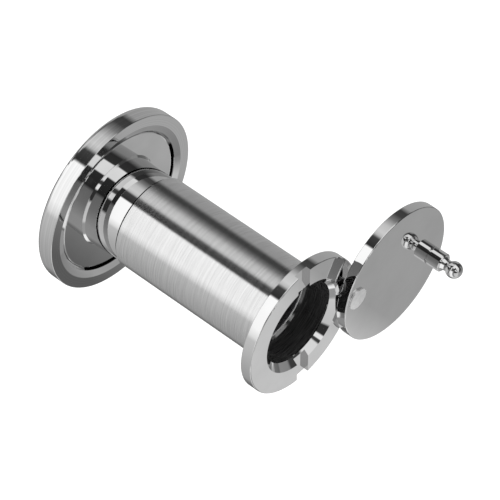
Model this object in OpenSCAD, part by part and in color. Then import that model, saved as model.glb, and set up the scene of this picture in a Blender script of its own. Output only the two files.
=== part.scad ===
// Door viewer: a lens tube with a flanged bezel on the street side, and a
// screwed sleeve with a slotted flange and a swinging cover on the room side.
// The barrel's axis is Y. The origin is on that axis, in the plane where the
// outer flange bears on the door. The street is towards +Y and the room
// towards -Y. Depths below are distances from the origin towards the room.

/* [Outer flange] */
// Radius of the outer flange
bezel_r = 15.73; // [15.5:0.01:17]
// Length of the straight band around the outer flange
bezel_band = 2.3; // [1.9:0.1:2.5]
// Radius that rounds the outer flange's front edge
bezel_round = 1.1; // [0.8:0.1:1.2]
// Thickness of the outer flange at its lens
bezel_depth = 5.5; // [5.4:0.1:5.9]
// Inner radius of the rim that bears on the door
rim_inner_r = 13.85; // [13.6:0.01:14.4]
// Depth of the seat of the backing disc below the rim
recess_depth = 1.55; // [1.4:0.05:1.7]
// Radius of the backing disc in the recess
disc_r = 12.34; // [12:0.01:12.6]
// Depth of the backing disc's face below the rim
disc_drop = 0.6; // [0.5:0.05:0.7]

/* [Lens tube] */
// Radius of the plain neck at its room end
neck_r = 7.65; // [7.6:0.05:7.75]
// How much wider the neck is at the outer flange
neck_taper = 0.25; // [0:0.05:0.25]
// Depth of the end of the neck
neck_end = 6.02; // [5.2:0.01:6.3]
// Crest radius of the tube's outside thread
thread_r = 6.9; // [6.88:0.01:6.95]
// Root radius of the tube's outside thread
thread_root_r = 6.4; // [6.35:0.05:6.45]
// Thread pitch, the travel of the sleeve in one turn
pitch = 1.0; // [1]
// Depth of the room end of the tube
tube_end = 32.42; // [32.3:0.01:32.7]
// Radius of the tube's bore
tube_bore_r = 5.7; // [5.6:0.05:5.75]

/* [Sleeve] */
// Outside radius of the sleeve, which sets the hole in the door
sleeve_r = 8.0; // [7.95:0.01:8.1]
// Crest radius of the sleeve's inside thread
sleeve_bore_r = 7.0; // [6.97:0.01:7.05]
// Width of the seam between the neck and the sleeve
seam = 0.35; // [0.1:0.05:0.4]

/* [Inner flange] */
// Radius of the inner flange
flange_r = 12.1; // [12:0.01:12.6]
// Depth of the flange's back, the least door thickness
flange_back = 36.25; // [36.1:0.01:36.4]
// Thickness of the inner flange
flange_t = 2.01; // [1.9:0.01:2.2]
// Width of the two slots that a coin or a plate turns
slot_w = 2.6; // [2:0.1:3]
// Depth of the slots
slot_depth = 0.8; // [0.5:0.05:0.9]
// Radius of the eye opening at the flange's face
mouth_r = 8.37; // [8.1:0.01:8.5]
// Radius of the eye opening inside the mouth
eye_r = 7.27; // [7.2:0.01:7.35]

/* [Cover] */
// Radius of the cover disc
cover_r = 12.0; // [11.5:0.1:12.5]
// Thickness of the cover disc
cover_t = 1.84; // [1.5:0.01:2]
// Gap between the inner flange and the cover
cover_gap = 0.6; // [0.5:0.05:0.8]
// Distance of the pivot from the barrel's axis, and of the cover's centre from the pivot
pivot_r = 9.68; // [9.6:0.01:9.9]
// Direction in which the open cover lies from the pivot, from +X
open_angle = -14.2; // [-90:0.1:90]
// Distance of the knob from the cover's centre
knob_r = 9.7; // [9:0.1:9.9]
// Direction of the knob from the line through the pivot and the cover's centre
knob_angle = -6.0; // [-15:0.1:15]
// Height of the knob above the cover
knob_h = 5.96; // [5.6:0.01:6.4]

/* [Hidden] */
$fn = 96;

// Colours of the finishes
polished = "silver";
brushed = "lightgray";
blackened = [0.08, 0.08, 0.08];
glass = [0.75, 0.85, 0.9, 0.5];
rubber = [0.15, 0.15, 0.16];

// Chamfers and roundings that break the turned edges
edge = 0.15;
fine_edge = 0.05;
rim_edge = 0.1;
disc_edge = 0.25;
edge_steps = 4;
bore_edge = 0.3;

// Outer flange, behind its front face
rim_cone = 0.34;
groove_r = 12.7;
groove_depth = 2.0;
spigot_r = 7.2;
tube_front = -3.7;
collar_cone = 0.3;
collar_r = neck_r + neck_taper + collar_cone;
lip_inner_r = 5.6;
lip_outer_r = 6.6;
lip_t = 0.6;
lens_seat_r = 6.3;
front_start_r = bezel_r - bezel_round;
front_start = -bezel_band - bezel_round;

// Lens tube
thread_start = neck_end + 0.7;
thread_turns = 24;
nose_shoulder_r = 5.1;
nose_shoulder = tube_front + 0.8;
ring_seat_r = 6.55;
ring_seat = tube_end - 1.66;

// Optical stack, as depths along the tube's bore
lens_fit = 0.03;
lens_r = tube_bore_r - lens_fit;
spacer_wall = 0.45;
second_lens_t = 2.8;
front_spacer_t = 2.2;
third_lens_t = 2.8;
stop_t = 0.3;
stop_r = 4.2;
eyepiece_t = 3.4;
eyepiece_spacer_t = 2.7;
ring_nose_t = 0.8;
second_start = nose_shoulder;
front_spacer_start = second_start + second_lens_t;
third_start = front_spacer_start + front_spacer_t;
middle_start = third_start + third_lens_t;
ring_start = ring_seat - ring_nose_t;
eyepiece_spacer_start = ring_start - eyepiece_spacer_t;
eyepiece_start = eyepiece_spacer_start - eyepiece_t;
stop_start = eyepiece_start - stop_t;

// Sleeve and its liner
sleeve_start = neck_end + seam;
sleeve_seat = 0.8;
sleeve_end = flange_back + sleeve_seat;
sleeve_root_r = 7.45;
sleeve_thread_start = sleeve_start + 1.6;
sleeve_turns = 23;
liner_fit = 0.03;
liner_r = 7.6;
liner_start = flange_back - 3.5;
liner_play = 0.05;
lead_in = 0.4;

// Inner flange and cover
flange_face = flange_back + flange_t;
mouth_cone = 1.05;
rivet_r = 0.85;
rivet_fit = 0.05;
rivet_head_r = 1.85;
rivet_head_h = 0.5;
rivet_dome = 0.2;
rivet_play = 0.02;
washer_r = 1.5;
washer_t = 0.22;
cover_back = flange_face + cover_gap;
cover_face = cover_back + cover_t;
stem_r = 0.8;

// Knob, as heights above the cover's face
knob_base_r = 1.6;
knob_base_h = 2.5;
knob_foot_r = 1.25;
knob_foot_h = 0.2;
knob_shoulder_r = 1.15;
knob_waist_r = 0.95;
knob_waist_h = 3.1;
knob_ball_r = 1.43;

// Puts a shape drawn along +Z on the barrel's axis, running towards the room.
module on_axis(x = 0, z = 0) {
    translate([x, 0, z])
        rotate([90, 0, 0])
            children();
}

// A turned solid from points given as [radius, depth].
module turned(points) {
    rotate_extrude()
        polygon(points);
}

// A plain ring from one depth to another.
module ring(inner, outer, start, stop) {
    turned([[inner, start], [outer, start], [outer, stop], [inner, stop]]);
}

// Points on an arc about [x, y], from angle a to angle b.
function arc(x, y, r, a, b, steps) =
    [for (i = [0:steps]) let (w = a + (b - a) * i / steps) [x + r * cos(w), y + r * sin(w)]];

// Points along thread ridges, each with a narrow crest and a narrow root.
function ridges(crest, root, start, turns) =
    [for (i = [0:turns - 1]) each [
        [crest, start + i * pitch],
        [root, start + (i + 0.4) * pitch],
        [root, start + (i + 0.5) * pitch],
        [crest, start + (i + 0.9) * pitch]
    ]];

// Radius of the sphere whose cap has the given rim radius and height.
function cap_sphere(rim, height) = (rim * rim + height * height) / (2 * height);

// A lens with both faces hollowed.
module hollow_lens(r, start, thick, rim, front_cut, back_cut) {
    front_r = cap_sphere(rim, front_cut);
    back_r = cap_sphere(rim, back_cut);
    difference() {
        translate([0, 0, start])
            cylinder(r = r, h = thick);
        translate([0, 0, start + front_cut - front_r])
            sphere(r = front_r);
        translate([0, 0, start + thick - back_cut + back_r])
            sphere(r = back_r);
    }
}

// A lens with both faces bulging.
module bulging_lens(r, start, thick, rise) {
    ball = cap_sphere(r, rise);
    intersection() {
        translate([0, 0, start])
            cylinder(r = r, h = thick);
        translate([0, 0, start + ball])
            sphere(r = ball);
        translate([0, 0, start + thick - ball])
            sphere(r = ball);
    }
}

// Flange on the street side, with the seat of the front lens.
module outer_bezel() {
    front_rise = -bezel_depth - front_start;
    color(polished)
        on_axis()
            turned(concat(
                [
                    [spigot_r, -recess_depth],
                    [disc_r, -recess_depth],
                    [disc_r, -groove_depth],
                    [groove_r, -groove_depth],
                    [groove_r, -rim_cone],
                    [rim_inner_r, 0]
                ],
                arc(bezel_r - rim_edge, -rim_edge, rim_edge, 90, 0, edge_steps),
                arc(front_start_r, -bezel_band, bezel_round, 0, -90, 8),
                [for (i = [1:6]) [
                    front_start_r + (lip_outer_r - front_start_r) * i / 6,
                    front_start + front_rise * sin(15 * i)
                ]],
                [
                    [lip_inner_r + edge, -bezel_depth],
                    [lip_inner_r, -bezel_depth + edge],
                    [lip_inner_r, -bezel_depth + lip_t],
                    [lens_seat_r, -bezel_depth + lip_t],
                    [lens_seat_r, tube_front],
                    [spigot_r, tube_front]
                ]
            ));
}

// Polished disc that fills the recess around the neck.
module backing_disc() {
    color(polished)
        on_axis()
            turned(concat(
                [[collar_r, -recess_depth], [disc_r, -recess_depth]],
                arc(disc_r - disc_edge, -disc_drop - disc_edge, disc_edge, 0, 90, edge_steps),
                [[collar_r, -disc_drop]]
            ));
}

// Tube that carries the lenses, with the plain neck and the outside thread.
module lens_tube() {
    color(polished)
        on_axis()
            turned(concat(
                [
                    [nose_shoulder_r, tube_front],
                    [spigot_r, tube_front],
                    [spigot_r, -recess_depth],
                    [collar_r, -recess_depth],
                    [collar_r, -disc_drop],
                    [neck_r + neck_taper, -disc_drop + collar_cone],
                    [neck_r, neck_end],
                    [thread_root_r, neck_end],
                    [thread_root_r, thread_start - 0.1]
                ],
                ridges(thread_r, thread_root_r, thread_start, thread_turns),
                [
                    [thread_r, tube_end - edge],
                    [thread_r - edge, tube_end],
                    [ring_seat_r, tube_end],
                    [ring_seat_r, ring_seat],
                    [tube_bore_r, ring_seat],
                    [tube_bore_r, nose_shoulder],
                    [nose_shoulder_r, nose_shoulder]
                ]
            ));
}

// First lens: bulging to the street and deeply hollow behind.
module front_lens() {
    rim_front = -bezel_depth + lip_t;
    dome_rise = 1.0;
    rim_back = tube_front - 0.2;
    hollow = 1.3;
    dome_r = cap_sphere(lip_inner_r - lens_fit, dome_rise);
    hollow_r = cap_sphere(4.2, hollow);
    color(glass)
        on_axis()
            difference() {
                union() {
                    translate([0, 0, rim_front])
                        cylinder(r = lens_seat_r - lens_fit, h = rim_back - rim_front);
                    intersection() {
                        translate([0, 0, rim_front - dome_rise])
                            cylinder(r = lip_inner_r - lens_fit, h = dome_rise + 0.5);
                        translate([0, 0, rim_front - dome_rise + dome_r])
                            sphere(r = dome_r);
                    }
                }
                translate([0, 0, rim_back - hollow + hollow_r])
                    sphere(r = hollow_r);
            }
}

// Seal between the front lens and the end of the tube.
module front_lens_gasket() {
    color(rubber)
        on_axis()
            ring(nose_shoulder_r, lens_seat_r - lens_fit, tube_front - 0.2, tube_front);
}

// Second lens, hollow on both faces.
module second_lens() {
    color(glass)
        on_axis()
            hollow_lens(lens_r, second_start, second_lens_t, 4.8, 0.7, 1.0);
}

// Short ring between the second and third lenses.
module front_spacer() {
    color(blackened)
        on_axis()
            ring(lens_r - spacer_wall, lens_r, front_spacer_start, third_start);
}

// Third lens, hollow on both faces.
module third_lens() {
    color(glass)
        on_axis()
            hollow_lens(lens_r, third_start, third_lens_t, 4.8, 0.6, 0.9);
}

// Long ring that sets the distance to the eyepiece.
module middle_spacer() {
    color(blackened)
        on_axis()
            ring(lens_r - spacer_wall, lens_r, middle_start, stop_start);
}

// Thin stop that trims the edge of the picture.
module field_stop() {
    color(blackened)
        on_axis()
            ring(stop_r, lens_r, stop_start, eyepiece_start);
}

// Eyepiece lens, bulging on both faces.
module eyepiece_lens() {
    color(glass)
        on_axis()
            bulging_lens(lens_r, eyepiece_start, eyepiece_t, 1.1);
}

// Ring between the eyepiece lens and the retaining ring.
module eyepiece_spacer() {
    color(blackened)
        on_axis()
            ring(lens_r - spacer_wall, lens_r, eyepiece_spacer_start, ring_start);
}

// Ring that closes the lens stack, with two notches for a spanner.
module retaining_ring() {
    face = tube_end - 0.1;
    notch_w = 1.2;
    notch_depth = 0.7;
    color(blackened)
        on_axis()
            difference() {
                turned([
                    [4.6, ring_start],
                    [lens_r, ring_start],
                    [lens_r, ring_seat],
                    [ring_seat_r - lens_fit, ring_seat],
                    [ring_seat_r - lens_fit, face],
                    [5.3, face]
                ]);
                translate([-ring_seat_r - 1, -notch_w / 2, face - notch_depth])
                    cube([2 * ring_seat_r + 2, notch_w, notch_depth + 1]);
            }
}

// Thin black tube inside the sleeve, from the eye opening to the end of the lens tube.
module sleeve_liner() {
    color(blackened)
        on_axis()
            ring(eye_r, liner_r, liner_start, sleeve_end - liner_play);
}

// Brushed sleeve that screws over the lens tube.
module barrel_sleeve() {
    color(brushed)
        on_axis()
            turned(concat(
                [
                    [sleeve_bore_r + bore_edge, sleeve_start],
                    [sleeve_r - fine_edge, sleeve_start],
                    [sleeve_r, sleeve_start + fine_edge],
                    [sleeve_r, sleeve_end],
                    [liner_r + liner_fit, sleeve_end],
                    [liner_r + liner_fit, liner_start - liner_play],
                    [eye_r, liner_start - liner_play],
                    [sleeve_bore_r, liner_start - liner_play - lead_in]
                ],
                [for (i = [sleeve_turns - 1:-1:0]) each [
                    [sleeve_bore_r, sleeve_thread_start + (i + 0.9) * pitch],
                    [sleeve_root_r, sleeve_thread_start + (i + 0.5) * pitch],
                    [sleeve_root_r, sleeve_thread_start + (i + 0.4) * pitch],
                    [sleeve_bore_r, sleeve_thread_start + i * pitch]
                ]],
                [[sleeve_bore_r, sleeve_start + bore_edge]]
            ));
}

// Flange on the room side, with its slots and the eye opening.
module inner_flange() {
    color(polished)
        on_axis()
            difference() {
                turned(concat(
                    [[sleeve_r, flange_back]],
                    arc(flange_r - edge, flange_back + edge, edge, -90, 0, edge_steps),
                    arc(flange_r - edge, flange_face - edge, edge, 0, 90, edge_steps),
                    [
                        [mouth_r, flange_face],
                        [eye_r, flange_face - mouth_cone],
                        [eye_r, sleeve_end],
                        [sleeve_r, sleeve_end]
                    ]
                ));
                translate([-slot_w / 2, -flange_r - 1, flange_face - slot_depth])
                    cube([slot_w, 2 * flange_r + 2, slot_depth + 1]);
                translate([pivot_r, 0, flange_back - 1])
                    cylinder(r = rivet_r, h = flange_t + 2);
            }
}

// Rivet that the cover swings on, fixed in the inner flange.
module pivot_rivet() {
    head = cap_sphere(rivet_head_r, rivet_dome);
    head_start = cover_face + rivet_play;
    color(polished)
        on_axis(x = pivot_r) {
            translate([0, 0, flange_back])
                cylinder(r = rivet_r, h = head_start + 0.1 - flange_back);
            intersection() {
                translate([0, 0, head_start])
                    cylinder(r = rivet_head_r, h = rivet_head_h);
                translate([0, 0, head_start + rivet_head_h - head])
                    sphere(r = head);
            }
        }
}

// Coned washer that gives the cover its friction.
module spring_washer() {
    color(brushed)
        on_axis(x = pivot_r)
            turned([
                [washer_r, flange_face + rivet_play],
                [washer_r, flange_face + rivet_play + washer_t],
                [rivet_r + rivet_fit, cover_back - 2 * rivet_play],
                [rivet_r + rivet_fit, cover_back - 2 * rivet_play - washer_t]
            ]);
}

// Places a shape in the open cover's own frame, with the pivot at its origin.
module on_cover() {
    on_axis(x = pivot_r)
        rotate([0, 0, open_angle])
            children();
}

// Disc that shuts the eye opening.
module cover_disc() {
    color(polished)
        on_cover()
            difference() {
                translate([pivot_r, 0, 0])
                    turned(concat(
                        [[0, cover_back]],
                        arc(cover_r - edge, cover_back + edge, edge, -90, 0, edge_steps),
                        arc(cover_r - edge, cover_face - edge, edge, 0, 90, edge_steps),
                        [[0, cover_face]]
                    ));
                translate([0, 0, cover_back - 1])
                    cylinder(r = rivet_r + rivet_fit, h = cover_t + 2);
                translate([pivot_r, 0, 0])
                    rotate([0, 0, knob_angle])
                        translate([knob_r, 0, cover_back - 1])
                            cylinder(r = stem_r, h = cover_t + 2);
            }
}

// Turned knob, with its stem riveted through the cover.
module cover_knob() {
    color(polished)
        on_cover()
            translate([pivot_r, 0, 0])
                rotate([0, 0, knob_angle])
                    translate([knob_r, 0, 0])
                        union() {
                            translate([0, 0, cover_back])
                                cylinder(r = stem_r, h = cover_t + 0.1);
                            translate([0, 0, cover_face])
                                turned([
                                    [0, 0],
                                    [knob_foot_r, 0],
                                    [knob_foot_r, knob_foot_h],
                                    [knob_base_r, knob_foot_h],
                                    [knob_base_r, knob_base_h - edge],
                                    [knob_base_r - edge, knob_base_h],
                                    [knob_shoulder_r, knob_base_h],
                                    [knob_waist_r, knob_waist_h],
                                    [knob_waist_r, knob_h - knob_ball_r],
                                    [0, knob_h - knob_ball_r]
                                ]);
                            translate([0, 0, cover_face + knob_h - knob_ball_r])
                                sphere(r = knob_ball_r);
                        }
}

outer_bezel();
backing_disc();
lens_tube();
front_lens();
front_lens_gasket();
second_lens();
front_spacer();
third_lens();
middle_spacer();
field_stop();
eyepiece_lens();
eyepiece_spacer();
retaining_ring();
sleeve_liner();
barrel_sleeve();
inner_flange();
pivot_rivet();
spring_washer();
cover_disc();
cover_knob();
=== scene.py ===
"""Door viewer on a pale floor, lit like a product picture. Metres, in the part's own frame."""
import math
import bpy
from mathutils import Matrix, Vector


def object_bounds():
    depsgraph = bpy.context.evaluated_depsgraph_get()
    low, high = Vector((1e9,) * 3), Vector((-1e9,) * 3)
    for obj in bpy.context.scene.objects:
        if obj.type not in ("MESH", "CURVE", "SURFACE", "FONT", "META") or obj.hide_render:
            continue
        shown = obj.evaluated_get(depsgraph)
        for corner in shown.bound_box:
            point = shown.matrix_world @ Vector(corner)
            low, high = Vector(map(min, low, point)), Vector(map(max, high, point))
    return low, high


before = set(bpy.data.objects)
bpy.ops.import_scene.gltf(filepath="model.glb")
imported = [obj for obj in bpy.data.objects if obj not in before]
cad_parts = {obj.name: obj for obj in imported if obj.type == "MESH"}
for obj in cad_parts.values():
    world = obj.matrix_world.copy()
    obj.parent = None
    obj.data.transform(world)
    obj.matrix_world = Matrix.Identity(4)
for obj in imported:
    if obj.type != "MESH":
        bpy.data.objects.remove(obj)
cad_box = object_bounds()

# Camera: its place, target and near clip in metres, its lens and sensor in millimetres
CAMERA_AT = Vector((-0.22433, -0.22830, 0.35042))
CAMERA_TARGET = Vector((0.00104, -0.02641, 0.00766))
CAMERA_CLIP = 0.01
CAMERA_LENS = 216.0
CAMERA_SENSOR = 36.0

# Floor: its distance below the object, its height, and its side
FLOOR_DROP = 0.03
FLOOR_Z = cad_box[0][2] - FLOOR_DROP
FLOOR_SIZE = 1.2

# Low card that the flat faces mirror: its two corners, its height above the floor, its
# (X, brightness) at both ends for the room side and the street side, and the Y where one
# side gives way to the other
CARD_LOW = (0.005, -0.085)
CARD_HIGH = (0.075, -0.012)
CARD_LIFT = 0.0005
CARD_ROOM = ((0.030, 0.62), (0.040, 0.37))
CARD_STREET = ((0.012, 0.12), (0.042, 0.42))
CARD_SPLIT = (-0.050, -0.042)

# Long studio cards: (direction around the barrel in degrees from +X towards +Z, brightness)
CARDS_START = -80
FULL_TURN = 360.0
STREET_CARDS = [
    (-80, 0.12), (-60, 0.20), (-36, 0.40), (22, 0.36), (32, 0.05), (44, 0.06), (56, 0.22),
    (70, 0.62), (84, 0.72), (90, 0.58), (95, 0.06), (111, 0.03), (114, 1.15), (165, 1.10),
    (178, 0.85), (184, 0.60), (225, 0.46), (264, 0.36), (276, 0.20),
]
MIDDLE_CARDS = [
    (-80, 0.20), (-57, 0.36), (-30, 0.20), (10, 0.05), (56, 0.05), (62, 0.90), (110, 0.90),
    (118, 0.10), (150, 0.10), (160, 1.10), (262, 1.00), (276, 0.20),
]
ROOM_CARDS = [
    (-80, 0.20), (-57, 0.36), (-30, 0.30), (10, 0.25), (30, 0.03), (56, 0.04), (59, 1.00),
    (91, 0.95), (94, 0.03), (134, 0.02), (142, 0.16), (176, 0.20), (220, 0.34), (255, 0.34),
    (276, 0.16),
]
AXIS_CARDS = [
    (-80, 0.30), (-57, 0.42), (-30, 0.25), (10, 0.05), (40, 0.05), (50, 0.80), (96, 0.80),
    (102, 0.05), (112, 0.05), (116, 0.90), (130, 0.90), (136, 0.03), (168, 0.03), (176, 0.60),
    (250, 0.70), (276, 0.40),
]

# The Y part of the direction where street cards give way to middle cards, these to room cards,
# and these to the cards about the barrel's axis: (fully below, fully above)
STREET_EDGE = (0.08, 0.16)
ROOM_EDGE = (-0.36, -0.30)
AXIS_EDGE = (-0.62, -0.56)

# The sleeve is plated outside this radius; inside it, in the bore, its colour is painted dark as
# painted shade
SLEEVE_PAINTED_SHADE_R = 0.0077

# The lens tube is bare below this Y, towards the room, and plated above it
TUBE_BARE_Y = -0.031

# Parts of a noise's range over which roughness and colour change
ROUGHEN_RANGE = (0.3, 0.7)
TINT_RANGE = (0.35, 0.65)

# Colour sockets of a Mix node, which share their names with its other sockets
MIX_A = 6
MIX_B = 7
MIX_RESULT = 2

# Nodes by finish
TURNED = ["outer_bezel"]
POLISHED = ["backing_disc", "inner_flange", "cover_disc", "cover_knob"]
RIVET = ["pivot_rivet"]
TUBE = ["lens_tube"]
BRUSHED = ["barrel_sleeve"]
STEEL = ["spring_washer"]
BLACK = ["front_spacer", "middle_spacer", "field_stop", "eyepiece_spacer", "retaining_ring"]
LINER = ["sleeve_liner"]
GLASS = ["front_lens", "second_lens", "third_lens", "eyepiece_lens"]
RUBBER = ["front_lens_gasket"]


class Nodes:
    """Short names for building a node tree."""

    def __init__(self, tree):
        self.tree = tree
        tree.nodes.clear()

    def add(self, kind, **values):
        node = self.tree.nodes.new(kind)
        for name, value in values.items():
            setattr(node, name, value)
        return node

    def join(self, start, end):
        self.tree.links.new(start, end)


def new_material(name, metallic=0.0):
    """A material with a Principled shader joined to its output."""
    material = bpy.data.materials.new(name)
    material.use_nodes = True
    nodes = Nodes(material.node_tree)
    shader = nodes.add("ShaderNodeBsdfPrincipled")
    shader.inputs["Metallic"].default_value = metallic
    output = nodes.add("ShaderNodeOutputMaterial")
    nodes.join(shader.outputs["BSDF"], output.inputs["Surface"])
    return material, nodes, shader


def grey(level):
    """A neutral colour."""
    return (level, level, level, 1)


def noise(nodes, scale, stretch=(1.0, 1.0, 1.0), detail=3.0):
    """Noise in object space, in cells per metre times the stretch of each axis."""
    coords = nodes.add("ShaderNodeTexCoord")
    mapping = nodes.add("ShaderNodeMapping")
    mapping.inputs["Scale"].default_value = stretch
    texture = nodes.add("ShaderNodeTexNoise")
    texture.inputs["Scale"].default_value = scale
    texture.inputs["Detail"].default_value = detail
    nodes.join(coords.outputs["Object"], mapping.inputs["Vector"])
    nodes.join(mapping.outputs["Vector"], texture.inputs["Vector"])
    return texture.outputs["Fac"]


def map_range(nodes, value, start, stop, low=0.0, high=1.0, **values):
    """Maps start..stop of a value to low..high."""
    scale = nodes.add("ShaderNodeMapRange", **values)
    scale.inputs["From Min"].default_value = start
    scale.inputs["From Max"].default_value = stop
    scale.inputs["To Min"].default_value = low
    scale.inputs["To Max"].default_value = high
    nodes.join(value, scale.inputs["Value"])
    return scale.outputs["Result"]


def roughen(nodes, shader, value, low, high):
    """Roughness from low to high over a noise."""
    nodes.join(map_range(nodes, value, *ROUGHEN_RANGE, low, high), shader.inputs["Roughness"])


def bump(nodes, shader, height, distance, strength):
    """Bump from a height, as deep as the distance in metres."""
    node = nodes.add("ShaderNodeBump")
    node.inputs["Strength"].default_value = strength
    node.inputs["Distance"].default_value = distance
    nodes.join(height, node.inputs["Height"])
    nodes.join(node.outputs["Normal"], shader.inputs["Normal"])


def tint(nodes, value, first, second):
    """Colour from first to second over a noise."""
    ramp = nodes.add("ShaderNodeValToRGB")
    for stop, place, colour in zip(ramp.color_ramp.elements, TINT_RANGE, (first, second)):
        stop.position = place
        stop.color = colour
    nodes.join(value, ramp.inputs["Fac"])
    return ramp.outputs["Color"]


def radius(nodes):
    """Distance from the barrel's axis."""
    coords = nodes.add("ShaderNodeTexCoord")
    flat = nodes.add("ShaderNodeVectorMath", operation="MULTIPLY")
    flat.inputs[1].default_value = (1, 0, 1)
    length = nodes.add("ShaderNodeVectorMath", operation="LENGTH")
    nodes.join(coords.outputs["Object"], flat.inputs[0])
    nodes.join(flat.outputs["Vector"], length.inputs[0])
    return length.outputs["Value"]


def depth(nodes):
    """Place along the barrel: Y, which grows towards the street."""
    coords = nodes.add("ShaderNodeTexCoord")
    split = nodes.add("ShaderNodeSeparateXYZ")
    nodes.join(coords.outputs["Object"], split.inputs["Vector"])
    return split.outputs["Y"]


def over(nodes, value, limit):
    """1 where a value is over a limit, 0 elsewhere."""
    test = nodes.add("ShaderNodeMath", operation="GREATER_THAN")
    test.inputs[1].default_value = limit
    nodes.join(value, test.inputs[0])
    return test.outputs["Value"]


def turning_marks(nodes, per_metre):
    """Noise that changes with radius and depth only, like marks left by a lathe tool."""
    pair = nodes.add("ShaderNodeCombineXYZ")
    texture = nodes.add("ShaderNodeTexNoise")
    texture.inputs["Scale"].default_value = per_metre
    texture.inputs["Detail"].default_value = 3.0
    nodes.join(radius(nodes), pair.inputs["X"])
    nodes.join(depth(nodes), pair.inputs["Y"])
    nodes.join(pair.outputs["Vector"], texture.inputs["Vector"])
    return texture.outputs["Fac"]


def turned_nickel():
    """Plate over a turned face: fine rings dull the mirror a little."""
    material, nodes, shader = new_material("turned_nickel", metallic=1.0)
    marks = turning_marks(nodes, 5000.0)
    nodes.join(tint(nodes, marks, grey(0.76), grey(0.86)), shader.inputs["Base Color"])
    roughen(nodes, shader, marks, 0.03, 0.08)
    bump(nodes, shader, marks, 0.00001, 0.08)
    return material


def polish(name):
    """Mirror-bright plate with faint handling haze, as a material with its nodes and shader."""
    material, nodes, shader = new_material(name, metallic=1.0)
    haze = noise(nodes, 160.0, detail=4.0)
    ripple = noise(nodes, 90.0, detail=1.0)
    nodes.join(tint(nodes, haze, grey(0.81), grey(0.86)), shader.inputs["Base Color"])
    roughen(nodes, shader, haze, 0.01, 0.03)
    bump(nodes, shader, ripple, 0.0002, 0.05)
    return material, nodes, shader


def polished_nickel():
    """Polish all over."""
    material, _, _ = polish("polished_nickel")
    return material


def tube_nickel():
    """Polished neck; the bare end towards the room is pale and catches light from everywhere."""
    material, nodes, shader = polish("tube_nickel")
    nodes.join(over(nodes, depth(nodes), TUBE_BARE_Y), shader.inputs["Metallic"])
    return material


def satin_nickel():
    """Plate left satin by a tumbling drum."""
    material, nodes, shader = new_material("satin_nickel", metallic=0.72)
    grain = noise(nodes, 1500.0)
    nodes.join(tint(nodes, grain, grey(0.80), grey(0.88)), shader.inputs["Base Color"])
    roughen(nodes, shader, grain, 0.32, 0.42)
    return material


def brushed_nickel():
    """Plate brushed around the barrel in fine and coarse rings, with painted shade: a dark colour
    inside the sleeve's bore.
    """
    material, nodes, shader = new_material("brushed_nickel", metallic=1.0)
    shader.inputs["Anisotropic"].default_value = 0.9
    shader.inputs["Anisotropic Rotation"].default_value = 0.25
    tangent = nodes.add("ShaderNodeTangent", direction_type="RADIAL", axis="Y")
    nodes.join(tangent.outputs["Tangent"], shader.inputs["Tangent"])
    fine = noise(nodes, 100.0, (0.8, 150.0, 0.8), 4.0)
    coarse = noise(nodes, 100.0, (1.5, 34.0, 1.5), 3.0)
    both = nodes.add("ShaderNodeMath", operation="ADD")
    nodes.join(fine, both.inputs[0])
    nodes.join(coarse, both.inputs[1])
    grain = nodes.add("ShaderNodeMath", operation="MULTIPLY")
    grain.inputs[1].default_value = 0.5
    nodes.join(both.outputs["Value"], grain.inputs[0])
    finish = nodes.add("ShaderNodeMix", data_type="RGBA")
    # Painted shade: dark grey colour inside the sleeve's bore, where the deep recess lies in shade
    finish.inputs[MIX_A].default_value = grey(0.22)
    nodes.join(over(nodes, radius(nodes), SLEEVE_PAINTED_SHADE_R), finish.inputs["Factor"])
    nodes.join(tint(nodes, grain.outputs["Value"], grey(0.68), grey(0.84)), finish.inputs[MIX_B])
    nodes.join(finish.outputs[MIX_RESULT], shader.inputs["Base Color"])
    roughen(nodes, shader, fine, 0.14, 0.20)
    bump(nodes, shader, fine, 0.00003, 0.12)
    return material


def spring_steel():
    """Dark bare steel."""
    material, nodes, shader = new_material("spring_steel", metallic=1.0)
    grain = noise(nodes, 900.0)
    steel = tint(nodes, grain, (0.35, 0.35, 0.36, 1), (0.48, 0.48, 0.49, 1))
    nodes.join(steel, shader.inputs["Base Color"])
    roughen(nodes, shader, grain, 0.25, 0.4)
    return material


def black_finish():
    """Matt black that keeps stray light out of the eyepiece."""
    material, nodes, shader = new_material("black_finish")
    grain = noise(nodes, 5000.0, detail=2.0)
    turning = noise(nodes, 100.0, (0.8, 80.0, 0.8), 3.0)
    black = tint(nodes, grain, (0.008, 0.008, 0.009, 1), (0.028, 0.028, 0.030, 1))
    nodes.join(black, shader.inputs["Base Color"])
    roughen(nodes, shader, grain, 0.22, 0.42)
    bump(nodes, shader, turning, 0.00004, 0.4)
    return material


def satin_black():
    """Black plate with a satin shine, turned in fine rings."""
    material, nodes, shader = new_material("satin_black", metallic=0.6)
    rings = noise(nodes, 100.0, (3.0, 90.0, 3.0), 4.0)
    nodes.join(tint(nodes, rings, grey(0.03), grey(0.12)), shader.inputs["Base Color"])
    roughen(nodes, shader, rings, 0.16, 0.28)
    bump(nodes, shader, rings, 0.00003, 0.2)
    return material


def lens_glass():
    """Clear crown glass with a faint smear."""
    material, nodes, shader = new_material("lens_glass")
    shader.inputs["Base Color"].default_value = (0.93, 0.97, 0.97, 1)
    shader.inputs["Transmission Weight"].default_value = 1.0
    shader.inputs["IOR"].default_value = 1.52
    roughen(nodes, shader, noise(nodes, 250.0), 0.0, 0.03)
    return material


def gasket_rubber():
    """Black rubber with a dull grain."""
    material, nodes, shader = new_material("gasket_rubber")
    grain = noise(nodes, 1200.0)
    nodes.join(tint(nodes, grain, grey(0.02), grey(0.045)), shader.inputs["Base Color"])
    roughen(nodes, shader, grain, 0.6, 0.8)
    return material


def give(node_names, material):
    """Gives CAD nodes a material."""
    for name in node_names:
        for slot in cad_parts[name].material_slots:
            slot.material = material


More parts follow.
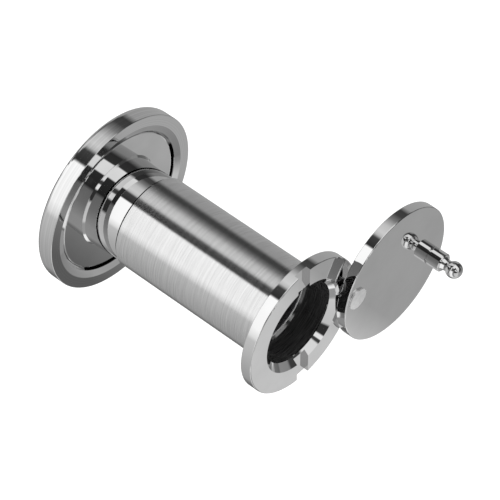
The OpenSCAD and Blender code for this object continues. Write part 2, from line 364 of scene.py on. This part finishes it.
def barrel_turn(nodes, split):
    """A direction's angle around the barrel, as a part of a full turn from CARDS_START."""
    angle = nodes.add("ShaderNodeMath", operation="ARCTAN2")
    nodes.join(split.outputs["Z"], angle.inputs[0])
    nodes.join(split.outputs["X"], angle.inputs[1])
    turns = nodes.add("ShaderNodeMath", operation="MULTIPLY_ADD")
    turns.inputs[1].default_value = 1.0 / math.tau
    turns.inputs[2].default_value = 1.0 - CARDS_START / FULL_TURN
    nodes.join(angle.outputs["Value"], turns.inputs[0])
    wrap = nodes.add("ShaderNodeMath", operation="FRACT")
    nodes.join(turns.outputs["Value"], wrap.inputs[0])
    return wrap.outputs["Value"]


def card_ramp(nodes, turn, cards):
    """Brightness of the cards at a turn around the barrel."""
    ramp = nodes.add("ShaderNodeValToRGB")
    stops = ramp.color_ramp.elements
    stops.remove(stops[1])
    stops[0].color = grey(cards[0][1])
    for degrees, level in cards[1:]:
        stops.new((degrees - CARDS_START) / FULL_TURN).color = grey(level)
    nodes.join(turn, ramp.inputs["Fac"])
    return ramp.outputs["Color"]


def side_mix(nodes, value, edge, below, above):
    """One colour below an edge (start, end) of a value and another above it."""
    side = map_range(nodes, value, *edge, interpolation_type="SMOOTHSTEP")
    mix = nodes.add("ShaderNodeMix", data_type="RGBA")
    nodes.join(side, mix.inputs["Factor"])
    nodes.join(below, mix.inputs[MIX_A])
    nodes.join(above, mix.inputs[MIX_B])
    return mix.outputs[MIX_RESULT]


def long_cards(nodes):
    """Brightness of the long cards in every direction."""
    coords = nodes.add("ShaderNodeTexCoord")
    split = nodes.add("ShaderNodeSeparateXYZ")
    nodes.join(coords.outputs["Generated"], split.inputs["Vector"])
    turn = barrel_turn(nodes, split)
    light = card_ramp(nodes, turn, AXIS_CARDS)
    sides = [(AXIS_EDGE, ROOM_CARDS), (ROOM_EDGE, MIDDLE_CARDS), (STREET_EDGE, STREET_CARDS)]
    for edge, cards in sides:
        light = side_mix(nodes, split.outputs["Y"], edge, light, card_ramp(nodes, turn, cards))
    return light


def studio_world():
    """Long cards around the barrel that only reflections see; all else sees plain white."""
    world = bpy.data.worlds.new("studio")
    bpy.context.scene.world = world
    world.use_nodes = True
    world.cycles.sampling_method = "NONE"
    nodes = Nodes(world.node_tree)
    plain = nodes.add("ShaderNodeBackground")
    plain.inputs["Color"].default_value = grey(1.0)
    cards = nodes.add("ShaderNodeBackground")
    nodes.join(long_cards(nodes), cards.inputs["Color"])
    paths = nodes.add("ShaderNodeLightPath")
    mixer = nodes.add("ShaderNodeMixShader")
    nodes.join(paths.outputs["Is Glossy Ray"], mixer.inputs["Fac"])
    nodes.join(plain.outputs["Background"], mixer.inputs[1])
    nodes.join(cards.outputs["Background"], mixer.inputs[2])
    output = nodes.add("ShaderNodeOutputWorld")
    nodes.join(mixer.outputs["Shader"], output.inputs["Surface"])


def floor():
    """Pale floor under the object, bright enough to wash out its shadow."""
    bpy.ops.mesh.primitive_plane_add(size=FLOOR_SIZE, location=(0, 0, FLOOR_Z))
    plane = bpy.context.object
    plane.name = "floor"
    material, _, shader = new_material("pale_floor")
    shader.inputs["Base Color"].default_value = grey(0.9)
    shader.inputs["Roughness"].default_value = 0.9
    shader.inputs["Emission Color"].default_value = grey(1.0)
    shader.inputs["Emission Strength"].default_value = 0.35
    plane.data.materials.append(material)
    plane.visible_glossy = False


def card_glow():
    """Glow that changes along X, in one way on the room side and in another on the street side."""
    material = bpy.data.materials.new("low_card")
    material.use_nodes = True
    material.cycles.emission_sampling = "NONE"
    nodes = Nodes(material.node_tree)
    place = nodes.add("ShaderNodeNewGeometry")
    split = nodes.add("ShaderNodeSeparateXYZ")
    nodes.join(place.outputs["Position"], split.inputs["Vector"])
    both = nodes.add("ShaderNodeMix")
    nodes.join(map_range(nodes, split.outputs["Y"], *CARD_SPLIT), both.inputs["Factor"])
    for name, ((start, low), (stop, high)) in (("A", CARD_ROOM), ("B", CARD_STREET)):
        level = map_range(nodes, split.outputs["X"], start, stop, low, high)
        nodes.join(level, both.inputs[name])
    glow = nodes.add("ShaderNodeEmission")
    output = nodes.add("ShaderNodeOutputMaterial")
    nodes.join(both.outputs["Result"], glow.inputs["Strength"])
    nodes.join(glow.outputs["Emission"], output.inputs["Surface"])
    return material


def low_card():
    """Card below the object that the flat faces turned to the room mirror; only reflections see it."""
    middle = [(low + high) / 2 for low, high in zip(CARD_LOW, CARD_HIGH)]
    size = [high - low for low, high in zip(CARD_LOW, CARD_HIGH)]
    bpy.ops.mesh.primitive_plane_add(size=1.0)
    card = bpy.context.object
    card.name = "low_card"
    card.scale = (size[0], size[1], 1.0)
    card.location = (middle[0], middle[1], FLOOR_Z + CARD_LIFT)
    card.data.materials.append(card_glow())
    card.visible_camera = False
    card.visible_diffuse = False
    card.visible_shadow = False
    card.visible_transmission = False


def camera():
    """Camera that was fitted to the photo."""
    data = bpy.data.cameras.new("camera")
    data.lens = CAMERA_LENS
    data.sensor_width = CAMERA_SENSOR
    data.clip_start = CAMERA_CLIP
    view = bpy.data.objects.new("camera", data)
    bpy.context.collection.objects.link(view)
    view.location = CAMERA_AT
    view.rotation_euler = (CAMERA_TARGET - CAMERA_AT).to_track_quat("-Z", "Y").to_euler()
    bpy.context.scene.camera = view


def main():
    """Builds the stage and gives every CAD node its finish."""
    bpy.context.scene.view_settings.view_transform = "Standard"
    camera()
    studio_world()
    floor()
    low_card()
    give(TURNED, turned_nickel())
    give(POLISHED, polished_nickel())
    give(RIVET, satin_nickel())
    give(TUBE, tube_nickel())
    give(BRUSHED, brushed_nickel())
    give(STEEL, spring_steel())
    give(BLACK, black_finish())
    give(LINER, satin_black())
    give(GLASS, lens_glass())
    give(RUBBER, gasket_rubber())


main()
